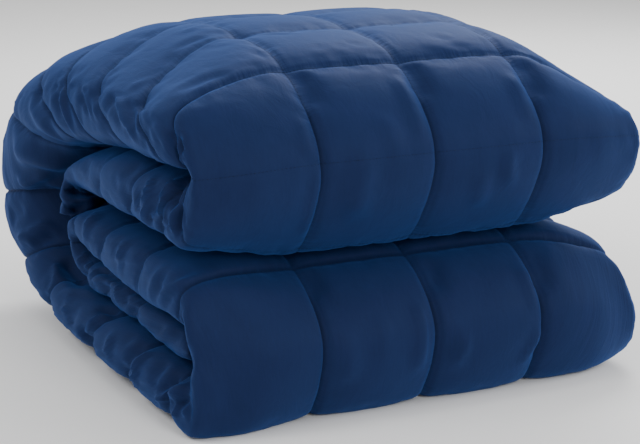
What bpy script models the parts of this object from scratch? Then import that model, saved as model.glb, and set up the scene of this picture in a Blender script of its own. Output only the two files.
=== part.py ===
"""Weighted blanket, quilted in squares and folded up.

The blanket is first folded in thirds into a strip four squares wide. Both ends of the strip are then
laid inwards and the strip is doubled over a wide bend at the back. Seen from the side, the folded
strip is one back and forth section, which the tables give row by row. A row is a line across the
strip, and most rows are stitched. Between two stitched rows and two stitched columns lies a filled
square, and one more such square goes round each folded edge of the strip.

Metres, +Z up, the front towards -Y. The origin is under the middle of the bounding box, on the floor.
"""
import bpy
import bmesh
import numpy as np

MM = 0.001

# Driving dimensions, in millimetres.
SQUARE = 127.0            # pitch of the stitched columns, 5 inches
SHOULDER = 118.0          # from one stitched column over the shoulder to the next one
TO_MIDDLE = (7.8, -32.4)  # from the section's own zero to the middle of the folded width and depth
FLOOR = 0.0

# One row for each line across the strip, from the hem that lies inside the back bend, forward along
# the lower half of the upper bundle, round the upper front fold, back over the top, round the back
# bend, forward along the floor, round the lower front fold, back, down and forward again to the hem
# inside the lower bundle.
# outer and inner are the two faces of the strip as (y, z), at the middle squares. stitch is how deep
# the stitches of the row draw the cloth in, and a row without a depth only gives shape. puff is how
# far a filled square stands proud of the outer face, the inner face and the folded edge. steps is how
# finely the stretch up to the next stitched row is divided.
MIDDLE_COLUMNS = ("name", "outer", "inner", "stitch", "puff", "steps")
MIDDLE = (
    ("upper_hem", (140, 166), (142, 214), 1.0, (2, 2, 3), 3),
    ("lower_a", (20, 178), (20, 250), 1.0, (3, 2, 9), 4),
    ("lower_b", (-95, 178), (-90, 255), 1.0, (3, 2, 9), 4),
    ("lower_c", (-180, 172), (-170, 257), 1.0, (6, 2, 8), 4),
    ("upper_low", (-224, 174), (-190, 258), 1.0, (10, 1, 5), 6),
    ("upper_front", (-268, 268), (-197, 262), 0.1, (12, 1, 2), 6),
    ("upper_top", (-186, 345), (-190, 266), 1.0, (11, 1, 6), 6),
    ("top_a", (-70, 362), (-130, 266), 1.0, (9, 2, 11), 6),
    ("top_b", (45, 361), (-20, 264), 1.0, (9, 2, 11), 6),
    ("top_c", (158, 340), (60, 259), 1.0, (9, 2, 11), 6),
    ("bend_a", (255, 282), (135, 248), 1.0, (9, 2, 11), 6),
    ("bend_b", (318, 192), (192, 205), 1.0, (9, 2, 11), 6),
    ("bend_c", (310, 84), (196, 140), 1.0, (9, 2, 11), 6),
    ("bend_d", (224, 16), (172, 88), 1.0, (8, 2, 11), 6),
    ("floor_a", (108, 3), (90, 66), 1.0, (8, 2, 9), 6),
    ("floor_b", (-8, 3), (-20, 62), 1.0, (8, 2, 8), 6),
    ("floor_c", (-120, 3), (-110, 60), 1.0, (8, 2, 8), 6),
    ("lower_low", (-214, 3), (-178, 60), 1.0, (9, 1, 6), 9),
    ("lower_foot", (-250, 18), (-188, 70), None, (12, 1, 3), 0),
    ("lower_front", (-272, 90), (-188, 90), None, (14, 1, 2), 0),
    ("lower_top", (-206, 148), (-180, 112), 1.0, (9, 1, 4), 6),
    ("middle_a", (-100, 160), (-100, 114), 1.0, (4, 2, 9), 4),
    ("middle_b", (10, 166), (10, 120), 1.0, (3, 2, 9), 4),
    ("middle_c", (122, 158), (98, 120), 1.0, (3, 1, 7), 3),
    ("turn", (158, 112), (110, 112), 1.0, (3, 1, 5), 3),
    ("inside_a", (96, 74), (84, 106), 1.0, (3, 1, 5), 4),
    ("inside_b", (-20, 70), (-20, 106), 1.0, (3, 2, 7), 4),
    ("inside_c", (-120, 68), (-110, 104), 1.0, (3, 2, 7), 3),
    ("lower_hem", (-176, 72), (-172, 98), 1.0, (2, 1, 4), 0),
)

# The same rows at the folded edges of the strip. edge is the share of the thickness, from the outer
# face, at which the folded edge stands furthest out. square is how square the shoulders on the outer
# and on the inner face are: 2 is an ellipse. reach is how far the folded edge is from the middle.
EDGE_COLUMNS = ("name", "outer", "inner", "edge", "square", "reach")
LEFT = (
    ("upper_hem", (116, 160), (122, 206), 0.50, (3.0, 3.0), 262),
    ("lower_a", (-12, 174), (-50, 248), 0.42, (3.6, 3.4), 262),
    ("lower_b", (-98, 182), (-150, 256), 0.42, (3.8, 3.4), 260),
    ("lower_c", (-184, 185), (-236, 261), 0.40, (3.8, 3.4), 260),
    ("upper_low", (-240, 192), (-250, 264), 0.25, (5.0, 5.0), 258),
    ("upper_front", (-268, 264), (-257, 268), 0.10, (7.0, 7.0), 258),
    ("upper_top", (-256, 328), (-252, 272), 0.20, (4.0, 4.0), 258),
    ("top_a", (-98, 336), (-236, 270), 0.45, (2.2, 3.2), 266),
    ("top_b", (28, 338), (-118, 262), 0.50, (2.1, 3.0), 272),
    ("top_c", (134, 336), (-33, 250), 0.50, (2.1, 3.0), 275),
    ("bend_a", (232, 316), (35, 240), 0.50, (2.1, 2.8), 277),
    ("bend_b", (356, 240), (90, 226), 0.48, (2.1, 2.6), 277),
    ("bend_c", (374, 122), (184, 164), 0.46, (2.1, 2.4), 276),
    ("bend_d", (284, 44), (172, 100), 0.44, (2.2, 2.4), 270),
    ("floor_a", (172, 10), (128, 70), 0.40, (2.4, 2.6), 268),
    ("floor_b", (42, 3), (-35, 66), 0.38, (2.5, 3.0), 268),
    ("floor_c", (-80, 3), (-142, 64), 0.38, (2.7, 3.0), 265),
    ("lower_low", (-196, 3), (-226, 62), 0.36, (3.5, 3.5), 260),
    ("lower_foot", (-256, 8), (-252, 66), 0.15, (6.0, 6.0), 259),
    ("lower_front", (-267, 88), (-254, 86), 0.10, (7.0, 7.0), 258),
    ("lower_top", (-250, 142), (-238, 110), 0.25, (5.0, 5.0), 258),
    ("middle_a", (-145, 170), (-132, 112), 0.50, (3.6, 3.2), 260),
    ("middle_b", (-22, 167), (-10, 120), 0.50, (3.6, 3.2), 262),
    ("middle_c", (88, 150), (70, 122), 0.48, (3.0, 3.0), 262),
    ("turn", (120, 116), (84, 114), 0.48, (2.6, 2.6), 262),
    ("inside_a", (70, 80), (50, 108), 0.48, (2.8, 2.8), 262),
    ("inside_b", (10, 76), (-35, 108), 0.48, (2.8, 2.8), 260),
    ("inside_c", (-80, 73), (-110, 106), 0.48, (2.8, 2.8), 260),
    ("lower_hem", (-236, 70), (-236, 100), 0.48, (2.8, 2.8), 256),
)
RIGHT = (
    ("upper_hem", (130, 166), (132, 210), 0.50, (3.2, 3.2), 250),
    ("lower_a", (-4, 176), (-30, 242), 0.50, (3.2, 3.2), 252),
    ("lower_b", (-98, 182), (-130, 250), 0.50, (3.2, 3.2), 254),
    ("lower_c", (-186, 182), (-210, 250), 0.50, (3.2, 3.2), 258),
    ("upper_low", (-234, 190), (-236, 250), 0.45, (2.6, 3.4), 257),
    ("upper_front", (-256, 248), (-240, 250), 0.20, (2.6, 3.4), 256),
    ("upper_top", (-206, 306), (-236, 256), 0.55, (2.3, 3.2), 249),
    ("top_a", (-92, 312), (-190, 254), 0.55, (2.1, 3.2), 246),
    ("top_b", (32, 310), (-90, 250), 0.52, (2.1, 3.2), 245),
    ("top_c", (138, 296), (-10, 246), 0.50, (2.1, 3.2), 246),
    ("bend_a", (228, 266), (60, 240), 0.50, (2.1, 3.2), 250),
    ("bend_b", (312, 200), (120, 222), 0.48, (2.1, 3.2), 255),
    ("bend_c", (322, 104), (200, 162), 0.48, (2.1, 3.2), 258),
    ("bend_d", (246, 30), (180, 100), 0.45, (2.3, 3.2), 260),
    ("floor_a", (140, 6), (116, 68), 0.42, (2.5, 3.2), 260),
    ("floor_b", (18, 3), (-30, 64), 0.42, (3.2, 3.2), 262),
    ("floor_c", (-100, 3), (-130, 62), 0.42, (3.2, 3.2), 264),
    ("lower_low", (-200, 3), (-214, 58), 0.42, (2.6, 3.4), 265),
    ("lower_foot", (-244, 14), (-236, 60), 0.40, (3.0, 3.0), 262),
    ("lower_front", (-258, 66), (-240, 72), 0.25, (2.6, 3.4), 259),
    ("lower_top", (-216, 116), (-224, 90), 0.50, (2.5, 3.2), 246),
    ("middle_a", (-120, 142), (-120, 104), 0.48, (3.2, 3.2), 250),
    ("middle_b", (0, 160), (-6, 118), 0.48, (3.2, 3.2), 250),
    ("middle_c", (108, 154), (90, 120), 0.48, (3.2, 3.2), 250),
    ("turn", (146, 112), (100, 112), 0.48, (3.2, 3.2), 250),
    ("inside_a", (76, 76), (58, 106), 0.48, (3.2, 3.2), 250),
    ("inside_b", (-6, 74), (-30, 106), 0.48, (3.2, 3.2), 252),
    ("inside_c", (-98, 70), (-110, 102), 0.48, (3.2, 3.2), 252),
    ("lower_hem", (-195, 70), (-195, 94), 0.48, (3.2, 3.2), 250),
)

STEPS = {3: (0.0, 0.3, 0.7), 4: (0.0, 0.2, 0.5, 0.8), 6: (0.0, 0.08, 0.27, 0.5, 0.73, 0.92),
         9: (0.0, 0.05, 0.15, 0.27, 0.4, 0.56, 0.72, 0.85, 0.95)}
EDGE_STEPS = (0.0, 0.12, 0.35, 0.65, 0.88)
INNER_STEPS = (0.0, 0.5)
HEM_ROWS = 0.35           # the strip thins out towards its hems over this part of a row
HEM_THICKNESS = 0.4       # share of the thickness left at a hem
PROFILE_SAMPLES = 181
LONGEST_SHOULDER = 0.42   # share of the way round an edge that the shoulder takes at most
OUTER, INNER, EDGE = 0, 1, 2


def table_numbers(rows, first, last):
    """The cells of some columns of a table as an array, a row for each row."""
    numbers = []
    for row in rows:
        flat = []
        for cell in row[first:last]:
            flat.extend(cell if isinstance(cell, tuple) else (cell,))
        numbers.append(flat)
    return np.array(numbers, float)


FACES = np.hstack([table_numbers(table, 1, 3) for table in (MIDDLE, LEFT, RIGHT)]).reshape(-1, 3, 2, 2)
EDGES = np.stack([table_numbers(table, 3, 6) for table in (LEFT, RIGHT)], axis=1)
PUFFS = table_numbers(MIDDLE, 4, 5)


def smooth(value):
    value = np.clip(value, 0.0, 1.0)
    return value * value * (3 - 2 * value)


def hem_thickness(place):
    """Share of the strip's thickness at a place along it, less than one only near its two hems."""
    from_hem = min(place, len(MIDDLE) - 1 - place)
    inward = min(from_hem / HEM_ROWS, 1.0)
    return HEM_THICKNESS + (1 - HEM_THICKNESS) * np.sqrt(1 - (1 - inward) ** 2)


def faces_at(place):
    """Outer and inner face as (y, z) in the middle, at the left and at the right, on smooth curves."""
    last = len(FACES) - 1
    k = int(min(max(np.floor(place), 0), last - 1))
    f = place - k
    before, start = FACES[max(k - 1, 0)], FACES[k]
    end, after = FACES[k + 1], FACES[min(k + 2, last)]
    faces = ((2 * f**3 - 3 * f**2 + 1) * start + (f**3 - 2 * f**2 + f) * (end - before) / 2
             + (3 * f**2 - 2 * f**3) * end + (f**3 - f**2) * (after - start) / 2)
    centre = faces.mean(axis=1, keepdims=True)
    return centre + (faces - centre) * hem_thickness(place)


def between_rows(numbers, place):
    k = int(min(max(np.floor(place), 0), len(numbers) - 2))
    return numbers[k] + (numbers[k + 1] - numbers[k]) * (place - k)


def edge_profile(middle, side, edge):
    """The strip's cross-section from a stitched column on its outer face round the folded edge.

    Returns the points (x, y, z) up to the same column on the inner face, and their arc lengths.
    """
    outward, square_outer, square_inner, reach = edge
    angle = np.linspace(0, np.pi / 2, PROFILE_SAMPLES)
    run = np.concatenate([np.sin(angle) ** (2 / square_outer),
                          np.sin(angle[-2::-1]) ** (2 / square_inner)])
    share = np.concatenate([outward * (1 - np.cos(angle) ** (2 / square_outer)),
                            1 - (1 - outward) * (1 - np.cos(angle[-2::-1]) ** (2 / square_inner))])
    share = share[:, None]
    blend = smooth(run)[:, None]
    outer = middle[0] + (side[0] - middle[0]) * blend
    inner = middle[1] + (side[1] - middle[1]) * blend
    points = np.column_stack([SQUARE + (reach - SQUARE) * run, outer + (inner - outer) * share])
    steps = np.linalg.norm(np.diff(points, axis=0), axis=1)
    return points, np.concatenate([[0], np.cumsum(steps)])


def half_ring(middle, side, edge):
    """Half of a ring round the strip: its points, the share of the square and the face at each."""
    profile, length = edge_profile(middle, side, edge)
    shoulder = min(SHOULDER, length[-1] * LONGEST_SHOULDER)
    around_edge = length[-1] - 2 * shoulder
    ring = [(SQUARE * share, *middle[0], share, OUTER) for share in STEPS[6]]
    for begin, width, steps, face in ((0, shoulder, STEPS[6], OUTER),
                                      (shoulder, around_edge, EDGE_STEPS, EDGE),
                                      (shoulder + around_edge, shoulder, INNER_STEPS, INNER)):
        for share in steps:
            at = begin + width * share
            ring.append((*(np.interp(at, length, profile[:, c]) for c in range(3)), share, face))
    ring += [(SQUARE * (1 - share), *middle[1], share, INNER) for share in (*INNER_STEPS, 1.0)]
    return np.array(ring)


def ring_at(place):
    """The ring round the strip: points, share of the square and height of the puff at each point."""
    middle, left, right = faces_at(place)
    left_edge, right_edge = between_rows(EDGES, place)
    left_half = half_ring(middle, left, left_edge)
    left_half[:, 0] *= -1
    right_half = half_ring(middle, right, right_edge)
    ring = np.vstack([left_half, right_half[-2:0:-1]])
    puff = between_rows(PUFFS, place)[ring[:, 4].astype(int)]
    return ring[:, :3], ring[:, 3], puff


def bump(share):
    """The rise of a filled square from one stitch line to the next."""
    return np.sqrt(np.clip(4 * share * (1 - share), 0, 1))


def places_along():
    """Places along the strip, counted in rows, and how far a filled square has risen there."""
    stitched = [k for k, row in enumerate(MIDDLE) if row[3] is not None]
    places = []
    for start, end in zip(stitched[:-1], stitched[1:]):
        for share in STEPS[MIDDLE[start][5]]:
            depth = MIDDLE[start][3] if share < 0.5 else MIDDLE[end][3]
            places.append((start + (end - start) * share, 1 - depth * (1 - bump(share))))
    places.append((stitched[-1], 0.0))
    return places


def blanket_points():
    rings, heights = [], []
    for place, risen in places_along():
        ring, across, puff = ring_at(place)
        rings.append(ring)
        heights.append(puff * bump(across) * risen)
    points = np.array(rings)
    along = np.gradient(points, axis=0)
    around = np.roll(points, -1, axis=1) - np.roll(points, 1, axis=1)
    normal = np.cross(along, around)
    normal /= np.linalg.norm(normal, axis=2, keepdims=True)
    points = points + normal * np.array(heights)[:, :, None]
    points[:, :, 2] = np.maximum(points[:, :, 2], FLOOR)
    return points


def close_hem(model, ring):
    """Close a hem with a band of triangles between its outer and its inner half."""
    left = min(range(len(ring)), key=lambda j: ring[j].co.x)
    right = max(range(len(ring)), key=lambda j: ring[j].co.x)
    outer = [ring[j % len(ring)] for j in range(left, right - len(ring) - 1, -1)]
    inner = [ring[j] for j in range(left, right + 1)]
    a, b = 0, 0
    while a < len(outer) - 1 or b < len(inner) - 1:
        step_outer = b == len(inner) - 1 or (a < len(outer) - 1
                                             and outer[a + 1].co.x <= inner[b + 1].co.x)
        corner = outer[a + 1] if step_outer else inner[b + 1]
        if len({outer[a], inner[b], corner}) == 3:
            model.faces.new((outer[a], inner[b], corner))
        a, b = (a + 1, b) if step_outer else (a, b + 1)


def build_blanket():
    points = blanket_points()
    rings, count = points.shape[:2]
    model = bmesh.new()
    grid = [[model.verts.new(((x + TO_MIDDLE[0]) * MM, (y + TO_MIDDLE[1]) * MM, z * MM))
             for x, y, z in ring] for ring in points]
    for k in range(rings - 1):
        for j in range(count):
            i = (j + 1) % count
            model.faces.new((grid[k][j], grid[k + 1][j], grid[k + 1][i], grid[k][i]))
    close_hem(model, grid[0])
    close_hem(model, grid[-1])
    bmesh.ops.triangulate(model, faces=model.faces)
    bmesh.ops.recalc_face_normals(model, faces=model.faces)
    mesh = bpy.data.meshes.new("blanket")
    model.to_mesh(mesh)
    model.free()
    mesh.shade_smooth()
    blanket = bpy.data.objects.new("blanket", mesh)
    bpy.context.scene.collection.objects.link(blanket)
    return blanket


def microfibre():
    """Navy brushed microfibre with a soft sheen."""
    material = bpy.data.materials.new("navy_microfibre")
    material.use_nodes = True
    shader = material.node_tree.nodes["Principled BSDF"]
    shader.inputs["Base Color"].default_value = (0.018, 0.058, 0.165, 1.0)
    shader.inputs["Roughness"].default_value = 0.62
    shader.inputs["Metallic"].default_value = 0.0
    return material


def main():
    for thing in list(bpy.data.objects):
        bpy.data.objects.remove(thing, do_unlink=True)
    blanket = build_blanket()
    blanket.data.materials.append(microfibre())


main()
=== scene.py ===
"""Looks of the folded weighted blanket: filled squares, gathers, stitched seams and brushed microfibre.

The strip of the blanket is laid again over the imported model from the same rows, in finer steps, and its
squares are then filled out by a cloth simulation that the stitches hold. The lengths in the tables are in
millimetres, measured in the section's own zero as in the part's source. The scene itself is in metres.
"""
import math

import bpy
import numpy as np
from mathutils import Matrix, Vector
from mathutils.bvhtree import BVHTree


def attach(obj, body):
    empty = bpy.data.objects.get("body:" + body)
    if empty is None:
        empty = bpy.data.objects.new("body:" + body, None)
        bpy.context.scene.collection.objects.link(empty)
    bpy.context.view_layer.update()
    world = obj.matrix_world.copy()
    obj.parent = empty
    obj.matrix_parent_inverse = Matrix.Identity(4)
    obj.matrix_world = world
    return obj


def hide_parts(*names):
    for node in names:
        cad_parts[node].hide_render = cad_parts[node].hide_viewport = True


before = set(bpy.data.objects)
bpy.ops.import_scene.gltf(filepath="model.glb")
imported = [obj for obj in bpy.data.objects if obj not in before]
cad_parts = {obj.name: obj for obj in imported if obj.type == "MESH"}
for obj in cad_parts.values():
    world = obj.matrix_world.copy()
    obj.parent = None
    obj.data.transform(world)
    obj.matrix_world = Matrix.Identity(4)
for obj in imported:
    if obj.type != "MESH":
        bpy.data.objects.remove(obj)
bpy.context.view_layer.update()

MM = 0.001
SQUARE = 127.0            # pitch of the stitched columns
TO_MIDDLE = (7.8, -32.4)  # from the section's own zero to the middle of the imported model

# One row for each line across the strip, from the hem that lies inside the back bend, forward along
# the lower half of the upper bundle, round the upper front fold, back over the top, round the back
# bend, forward along the floor, round the lower front fold, back, down and forward again to the hem
# inside the lower bundle.
# outer and inner are the two faces of the strip as (y, z), at the middle squares. stitch is how deep
# the stitches of the row draw the cloth in, and a row without a depth only gives shape. puff is how
# far a filled square stands proud of the outer face, the inner face and the folded edge. steps is how
# finely the stretch up to the next stitched row is divided.
MIDDLE = (
    ("upper_lip", (148, 176), (150, 206), 1.0, (1, 1, 2), 32),
    ("upper_hem", (140, 166), (142, 214), None, (2, 2, 3), 0),
    ("lower_a", (20, 178), (20, 250), 1.0, (3, 2, 5), 18),
    ("lower_b", (-95, 178), (-90, 255), 1.0, (3, 2, 5), 18),
    ("lower_c", (-180, 176), (-170, 257), 1.0, (2, 2, 5), 18),
    ("upper_low", (-222, 172), (-190, 258), 0.5, (2, 1, 4), 22),
    ("upper_front", (-268, 268), (-197, 262), 0.14, (13, 1, 2), 22),
    ("upper_top", (-186, 347), (-190, 266), 1.0, (5.4, 1, 6), 22),
    ("top_a", (-70, 367), (-130, 266), 1.0, (3.6, 2, 5), 22),
    ("top_b", (45, 366), (-20, 264), 1.0, (3.6, 2, 5), 22),
    ("top_c", (158, 344), (60, 259), 1.0, (5, 2, 5), 22),
    ("bend_a", (257, 284), (135, 248), 1.0, (7, 2, 6), 22),
    ("bend_b", (318, 192), (192, 205), 1.0, (9, 2, 8), 22),
    ("bend_c", (310, 84), (196, 140), 1.0, (9, 2, 8), 22),
    ("bend_d", (224, 16), (172, 88), 1.0, (8, 2, 7), 22),
    ("floor_a", (108, 3), (90, 66), 1.0, (8, 5, 7), 20),
    ("floor_b", (-8, 3), (-20, 62), 1.0, (8, 5, 7), 20),
    ("floor_c", (-120, 3), (-110, 60), 1.0, (8, 5, 7), 20),
    ("lower_low", (-214, 3), (-178, 60), 1.0, (9, 2, 5), 36),
    ("lower_foot", (-250, 18), (-188, 70), None, (12, 1, 3), 0),
    ("lower_front", (-272, 90), (-188, 90), None, (14, 1, 2), 0),
    ("lower_top", (-206, 148), (-180, 112), 1.0, (9, 1, 4), 22),
    ("middle_a", (-100, 160), (-100, 114), 1.0, (4, 2, 4), 20),
    ("middle_b", (10, 166), (10, 120), 1.0, (3, 2, 4), 20),
    ("middle_c", (122, 158), (98, 120), 1.0, (3, 1, 4), 14),
    ("turn", (158, 112), (110, 112), 1.0, (3, 2, 2), 14),
    ("inside_a", (96, 74), (84, 106), 1.0, (3, 3, 2.5), 16),
    ("inside_b", (-20, 70), (-20, 106), 1.0, (3, 3, 2.5), 16),
    ("inside_c", (-120, 68), (-110, 104), 1.0, (3, 3, 2.5), 14),
    ("lower_hem", (-176, 72), (-172, 98), 1.0, (2, 1, 4), 0),
)

# The same rows at the folded edges of the strip. edge gives two shares of the thickness, from the outer
# face: where the folded edge stands furthest out, and where its seam runs. square is how square the
# shoulders on the outer and on the inner face are: 2 is an ellipse. reach is how far the folded edge
# is from the middle.
LEFT = (
    ("upper_lip", (98, 146), (116, 146), (0.5, 0.5), (3.0, 3.0), 260),
    ("upper_hem", (98, 182), (116, 204), (0.5, 0.5), (3.0, 3.0), 262),
    ("lower_a", (-14, 182), (-50, 250), (0.52, 0.46), (3.0, 4.0), 272),
    ("lower_b", (-98, 184), (-150, 256), (0.5, 0.44), (3.2, 4.0), 270),
    ("lower_c", (-184, 186), (-236, 260), (0.4, 0.4), (3.4, 3.8), 266),
    ("upper_low", (-240, 192), (-250, 264), (0.25, 0.25), (5.0, 5.0), 260),
    ("upper_front", (-268, 264), (-257, 268), (0.1, 0.1), (7.0, 7.0), 259),
    ("upper_top", (-208, 337), (-254, 272), (0.5, 0.58), (2.4, 6.0), 261),
    ("top_a", (-98, 336), (-236, 270), (0.6, 0.32), (2.2, 6.0), 275),
    ("top_b", (24, 338), (-118, 262), (0.5, 0.36), (2.2, 5.0), 272),
    ("top_c", (128, 336), (-33, 250), (0.5, 0.38), (2.2, 5.0), 275),
    ("bend_a", (226, 318), (35, 240), (0.55, 0.44), (2.2, 4.0), 278),
    ("bend_b", (352, 248), (90, 226), (0.5, 0.34), (2.1, 3.4), 279),
    ("bend_c", (374, 122), (184, 164), (0.45, 0.37), (2.1, 3.0), 277),
    ("bend_d", (290, 46), (172, 100), (0.44, 0.32), (2.2, 3.0), 272),
    ("floor_a", (172, 10), (128, 70), (0.5, 0.4), (2.4, 4.0), 273),
    ("floor_b", (42, 3), (-35, 67), (0.5, 0.4), (2.5, 4.0), 274),
    ("floor_c", (-80, 3), (-142, 65), (0.5, 0.4), (2.7, 4.0), 272),
    ("lower_low", (-196, 3), (-226, 62), (0.42, 0.36), (3.5, 4.0), 266),
    ("lower_foot", (-256, 8), (-252, 66), (0.15, 0.15), (6.0, 6.0), 260),
    ("lower_front", (-267, 88), (-254, 86), (0.1, 0.1), (7.0, 7.0), 259),
    ("lower_top", (-238, 162), (-238, 112), (0.5, 0.4), (3.0, 6.0), 265),
    ("middle_a", (-145, 170), (-132, 112), (0.5, 0.3), (4.0, 6.0), 269),
    ("middle_b", (-22, 164), (-10, 118), (0.5, 0.32), (4.2, 6.0), 266),
    ("middle_c", (86, 158), (74, 126), (0.48, 0.4), (3.4, 4.0), 264),
    ("turn", (122, 120), (84, 118), (0.48, 0.48), (2.6, 2.6), 262),
    ("inside_a", (72, 76), (50, 110), (0.48, 0.48), (3.4, 3.4), 260),
    ("inside_b", (10, 73), (-35, 111), (0.48, 0.48), (3.6, 3.6), 260),
    ("inside_c", (-80, 71), (-110, 108), (0.48, 0.48), (3.6, 3.6), 259),
    ("lower_hem", (-236, 68), (-236, 102), (0.48, 0.48), (3.2, 3.2), 256),
)
RIGHT = (
    ("upper_lip", (140, 172), (142, 204), (0.5, 0.5), (3.2, 3.2), 248),
    ("upper_hem", (130, 166), (132, 210), (0.5, 0.5), (3.2, 3.2), 250),
    ("lower_a", (-4, 176), (-30, 242), (0.5, 0.5), (3.2, 3.2), 252),
    ("lower_b", (-98, 182), (-130, 250), (0.5, 0.5), (3.2, 3.2), 254),
    ("lower_c", (-186, 182), (-210, 250), (0.5, 0.5), (3.2, 3.2), 258),
    ("upper_low", (-234, 190), (-236, 250), (0.45, 0.45), (2.6, 3.4), 257),
    ("upper_front", (-258, 262), (-240, 254), (0.2, 0.2), (2.6, 3.4), 256),
    ("upper_top", (-206, 306), (-236, 256), (0.55, 0.55), (2.3, 3.2), 249),
    ("top_a", (-92, 312), (-190, 254), (0.55, 0.55), (2.1, 3.2), 246),
    ("top_b", (32, 310), (-90, 250), (0.52, 0.52), (2.1, 3.2), 245),
    ("top_c", (138, 296), (-10, 246), (0.5, 0.5), (2.1, 3.2), 246),
    ("bend_a", (228, 266), (60, 240), (0.5, 0.5), (2.1, 3.2), 250),
    ("bend_b", (312, 200), (120, 222), (0.48, 0.48), (2.1, 3.2), 255),
    ("bend_c", (322, 104), (200, 162), (0.48, 0.48), (2.1, 3.2), 258),
    ("bend_d", (246, 30), (180, 100), (0.45, 0.45), (2.3, 3.2), 260),
    ("floor_a", (140, 6), (116, 68), (0.42, 0.42), (2.5, 3.2), 260),
    ("floor_b", (18, 3), (-30, 64), (0.42, 0.42), (3.2, 3.2), 262),
    ("floor_c", (-100, 3), (-130, 62), (0.42, 0.42), (3.2, 3.2), 264),
    ("lower_low", (-200, 3), (-214, 58), (0.42, 0.42), (2.6, 3.4), 265),
    ("lower_foot", (-244, 14), (-236, 60), (0.4, 0.4), (3.0, 3.0), 262),
    ("lower_front", (-258, 66), (-240, 72), (0.25, 0.25), (2.6, 3.4), 259),
    ("lower_top", (-216, 136), (-224, 96), (0.5, 0.5), (2.5, 3.2), 246),
    ("middle_a", (-120, 142), (-120, 104), (0.48, 0.48), (3.2, 3.2), 250),
    ("middle_b", (0, 160), (-6, 118), (0.48, 0.48), (3.2, 3.2), 250),
    ("middle_c", (108, 154), (90, 120), (0.48, 0.48), (3.2, 3.2), 250),
    ("turn", (146, 112), (100, 112), (0.48, 0.48), (3.2, 3.2), 250),
    ("inside_a", (76, 76), (58, 106), (0.48, 0.48), (3.2, 3.2), 250),
    ("inside_b", (-6, 74), (-30, 106), (0.48, 0.48), (3.2, 3.2), 252),
    ("inside_c", (-98, 70), (-110, 102), (0.48, 0.48), (3.2, 3.2), 252),
    ("lower_hem", (-195, 70), (-195, 94), (0.48, 0.48), (3.2, 3.2), 250),
)

# The columns of squares round half a ring, from the middle of the outer face outwards: the seam that
# each one starts from, counted in squares, and how many faces it has on the left and on the right. The
# folded edge lies on seam 2.
COLUMN_STEPS = (
    ("middle", 0, 20, 20),
    ("shoulder", 1, 26, 22),
    ("under_edge", 2, 48, 24),
    ("inner_middle", 3, 6, 6),
)
SEAM_OUTSIDE, SEAM_ON_EDGE, SEAM_INSIDE, MIDDLE_INSIDE = 1, 2, 3, 4  # column numbers round half a ring
LEFT_SIDE, RIGHT_SIDE = 0, 1
FACE_COLUMNS = (1, 3)     # where outer and inner stand in the tables, and where what follows them ends
EDGE_COLUMNS = (3, 6)
PUFF_COLUMNS = (4, 5)
STITCH, STEPS = 3, 5      # where stitch and steps stand in a row of MIDDLE
CLOSER_AT_SEAMS = 0.3     # share of the even spacing that is given up for finer steps at the seams
PUFF_FLATNESS = 0.36      # how flat a filled square is: 0.5 is an ellipse, and less is flatter
HEM_ROWS = 0.35           # the strip thins out towards its hems over this part of a row
HEM_THICKNESS = 0.4       # share of the thickness left at a hem
PROFILE_SAMPLES = 361
UNDER_PUFF = (0.3, 0.65)  # shares of the square under an edge between which its puff goes flat
OVER_EDGE = 0.5           # share of a square before the edge's seam over which the puff changes height
EDGE_SEAM_DEPTH = 0.15    # how deep the seam on the folded edge draws the cloth in
ROUNDING = 1e-9           # allowance for rounding where a ring is found by its square number


def table_numbers(rows, first, last):
    """The cells of some columns of a table as an array, a row for each row."""
    numbers = []
    for row in rows:
        flat = []
        for cell in row[first:last]:
            flat.extend(cell if isinstance(cell, tuple) else (cell,))
        numbers.append(flat)
    return np.array(numbers, float)


FACES = np.hstack([table_numbers(table, *FACE_COLUMNS) for table in (MIDDLE, LEFT, RIGHT)])
FACES = FACES.reshape(-1, 3, 2, 2)
EDGES = np.stack([table_numbers(table, *EDGE_COLUMNS) for table in (LEFT, RIGHT)], axis=1)
PUFFS = table_numbers(MIDDLE, *PUFF_COLUMNS)
STITCHED = [k for k, row in enumerate(MIDDLE) if row[STITCH] is not None]


def smooth(value):
    """A step from 0 to 1 that starts and ends gently."""
    value = np.clip(value, 0.0, 1.0)
    return value * value * (3 - 2 * value)


def spaced(steps):
    """Shares of a square from one seam towards the next, closer together near the seams."""
    even = np.arange(steps) / steps
    return (1 - CLOSER_AT_SEAMS) * even + CLOSER_AT_SEAMS / 2 * (1 - np.cos(np.pi * even))


def bump(share):
    """The rise of a filled square from one seam to the next."""
    return np.clip(4 * share * (1 - share), 0, 1) ** PUFF_FLATNESS


def hem_thickness(place):
    """Share of the strip's thickness at a place along it, less than one only near its two hems."""
    from_hem = min(place, len(MIDDLE) - 1 - place)
    inward = min(from_hem / HEM_ROWS, 1.0)
    return HEM_THICKNESS + (1 - HEM_THICKNESS) * np.sqrt(1 - (1 - inward) ** 2)


def faces_at(place):
    """Outer and inner face as (y, z) in the middle, at the left and at the right, on smooth curves."""
    last = len(FACES) - 1
    k = int(min(max(np.floor(place), 0), last - 1))
    f = place - k
    before, start = FACES[max(k - 1, 0)], FACES[k]
    end, after = FACES[k + 1], FACES[min(k + 2, last)]
    faces = ((2 * f**3 - 3 * f**2 + 1) * start + (f**3 - 2 * f**2 + f) * (end - before) / 2
             + (3 * f**2 - 2 * f**3) * end + (f**3 - f**2) * (after - start) / 2)
    centre = faces.mean(axis=1, keepdims=True)
    return centre + (faces - centre) * hem_thickness(place)


def between_rows(numbers, place):
    """The numbers of a table at a place between its rows."""
    k = int(min(max(np.floor(place), 0), len(numbers) - 2))
    return numbers[k] + (numbers[k + 1] - numbers[k]) * (place - k)


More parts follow.
